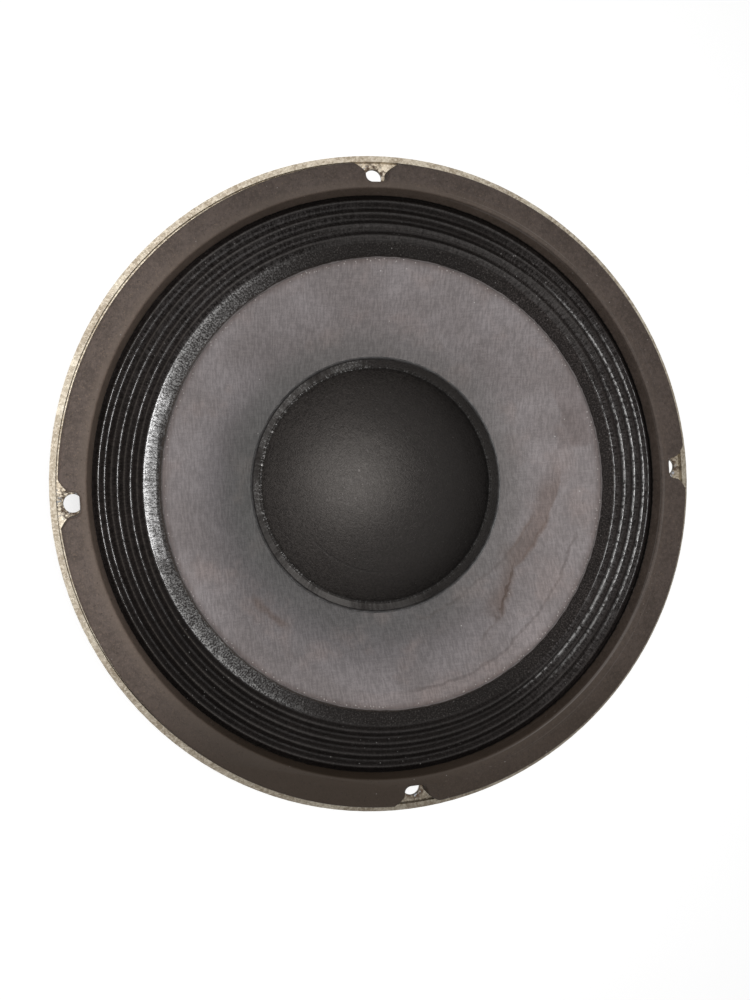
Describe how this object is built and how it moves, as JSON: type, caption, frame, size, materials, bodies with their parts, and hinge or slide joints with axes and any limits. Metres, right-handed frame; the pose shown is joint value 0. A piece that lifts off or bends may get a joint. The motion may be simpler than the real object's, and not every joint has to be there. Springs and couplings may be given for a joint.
{
  "type": "woofer loudspeaker driver",
  "caption": "Round woofer driver: stamped steel frame, paper cone with pleated cloth surround and dust cap, on a ferrite magnet with a vented pole.",
  "frame": {"origin": "centre of the magnet assembly's rear face, on the speaker's axis", "axes": "+Z along the speaker's axis out of the cone's front; mounting holes lie on +X, +Y, -X and -Y"},
  "size_m": [0.2569, 0.2568, 0.1122],
  "materials": {
    "plated_steel": "satin",
    "gasket_board": "matte",
    "doped_cloth": "satin",
    "cone_paper": "matte",
    "cap_paper": "matte",
    "black_glue": "gloss",
    "former_film": "satin",
    "kraft_paper": "matte",
    "copper_wire": "satin",
    "spider_cloth": "matte",
    "eyelet_brass": "satin",
    "solder": "satin",
    "tinsel_braid": "satin",
    "phenolic_board": "satin",
    "tinned_brass": "satin",
    "rivet_metal": "satin",
    "magnet_steel": "satin",
    "ferrite": "matte",
    "screen_wire": "matte"
  },
  "bodies": {
    "frame_body": {"basket": "plated_steel", "gasket": "gasket_board", "surround": "doped_cloth", "spider": "spider_cloth", "tinsel_lead_positive": "tinsel_braid", "tinsel_lead_negative": "tinsel_braid", "terminal_board": "phenolic_board", "terminal_positive": "tinned_brass", "terminal_negative": "tinned_brass", "terminal_rivets": "rivet_metal", "terminal_solder": "solder", "top_plate": "magnet_steel", "magnet": "ferrite", "back_plate": "magnet_steel", "pole_piece": "magnet_steel", "vent_screen": "screen_wire", "frame_rivets": "rivet_metal"},
    "moving_body": {"cone": "cone_paper", "dust_cap": "cap_paper", "dust_cap_glue": "black_glue", "coil_former": "former_film", "former_collar": "kraft_paper", "voice_coil": "copper_wire", "coil_wire_positive": "copper_wire", "coil_wire_negative": "copper_wire", "cone_eyelets": "eyelet_brass", "eyelet_solder": "solder"}
  },
  "joints": [
    {"name": "cone_travel", "type": "slide", "parent": "frame_body", "child": "moving_body", "axis": [0, 0, 1], "range_m": [-0.008, 0.008], "stiffness_N_per_m": 3200, "deforming": ["surround", "spider", "tinsel_lead_positive", "tinsel_lead_negative"]}
  ]
}
